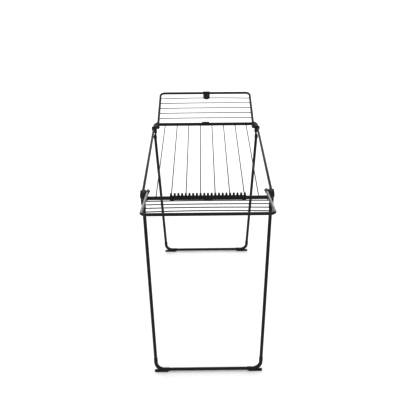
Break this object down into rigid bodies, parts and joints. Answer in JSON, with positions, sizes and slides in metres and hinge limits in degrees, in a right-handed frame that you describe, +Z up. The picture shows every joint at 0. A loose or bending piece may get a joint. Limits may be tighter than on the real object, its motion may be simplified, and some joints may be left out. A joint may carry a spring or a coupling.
{
  "type": "folding clothes airer",
  "caption": "Free-standing folding clothes airer: flat wire top on U-shaped folding legs, tilted fold-out wings at both ends and a hanger comb along the front bar.",
  "frame": {"origin": "on the floor under the centre of the airer, at the bottom centre of its bounding box", "axes": "+Z up, +Y along the airer towards the rear wing, +X across it to the right"},
  "size_m": [0.609, 1.4659, 1.0453],
  "materials": {
    "coated_tube": "satin",
    "coated_wire": "satin",
    "black_plastic": "fine matt",
    "pin_steel": "dark zinc"
  },
  "bodies": {
    "frame": {"front_cross_bar": "coated_tube", "rear_cross_bar": "coated_tube", "left_rail": "coated_tube", "right_rail": "coated_tube", "drying_wire_1": "coated_wire", "drying_wire_2": "coated_wire", "drying_wire_3": "coated_wire", "drying_wire_4": "coated_wire", "drying_wire_5": "coated_wire", "drying_wire_6": "coated_wire", "drying_wire_7": "coated_wire", "drying_wire_8": "coated_wire", "hanger_comb": "black_plastic", "rear_bar_clip": "black_plastic", "front_left_hub": "black_plastic", "front_right_hub": "black_plastic", "rear_left_hub": "black_plastic", "rear_right_hub": "black_plastic", "leg_pins": "pin_steel", "wing_pins": "pin_steel"},
    "front_leg": {"front_leg_tube": "coated_tube", "front_left_leg_knuckle": "black_plastic", "front_right_leg_knuckle": "black_plastic", "front_left_foot": "black_plastic", "front_right_foot": "black_plastic"},
    "front_wing": {"front_wing_tube": "coated_tube", "front_wing_wire_1": "coated_wire", "front_wing_wire_2": "coated_wire", "front_wing_wire_3": "coated_wire", "front_wing_wire_4": "coated_wire", "front_wing_wire_5": "coated_wire", "front_left_wing_knuckle": "black_plastic", "front_right_wing_knuckle": "black_plastic"},
    "rear_leg": {"rear_leg_tube": "coated_tube", "rear_left_leg_knuckle": "black_plastic", "rear_right_leg_knuckle": "black_plastic", "rear_left_foot": "black_plastic", "rear_right_foot": "black_plastic"},
    "rear_wing": {"rear_wing_tube": "coated_tube", "rear_wing_wire_1": "coated_wire", "rear_wing_wire_2": "coated_wire", "rear_wing_wire_3": "coated_wire", "rear_wing_wire_4": "coated_wire", "rear_wing_wire_5": "coated_wire", "rear_left_wing_knuckle": "black_plastic", "rear_right_wing_knuckle": "black_plastic"},
    "latch": {"storage_latch": "black_plastic"}
  },
  "joints": [
    {"name": "front_leg_fold", "type": "hinge", "parent": "frame", "child": "front_leg", "pos_m": [0, -0.3995, 0.928], "axis": [1, 0, 0], "range_deg": [0, 95]},
    {"name": "rear_leg_fold", "type": "hinge", "parent": "frame", "child": "rear_leg", "pos_m": [0, 0.3995, 0.928], "axis": [-1, 0, 0], "range_deg": [0, 99]},
    {"name": "front_wing_fold", "type": "hinge", "parent": "frame", "child": "front_wing", "pos_m": [0, -0.38119, 0.956], "axis": [-1, 0, 0], "range_deg": [0, 165]},
    {"name": "rear_wing_fold", "type": "hinge", "parent": "frame", "child": "rear_wing", "pos_m": [0, 0.38119, 0.956], "axis": [1, 0, 0], "range_deg": [0, 165]},
    {"name": "latch_turn", "type": "hinge", "parent": "rear_wing", "child": "latch", "pos_m": [0.008, 0.72466, 1.03529], "axis": [-1, 0, 0], "range_deg": [0, 100]}
  ]
}
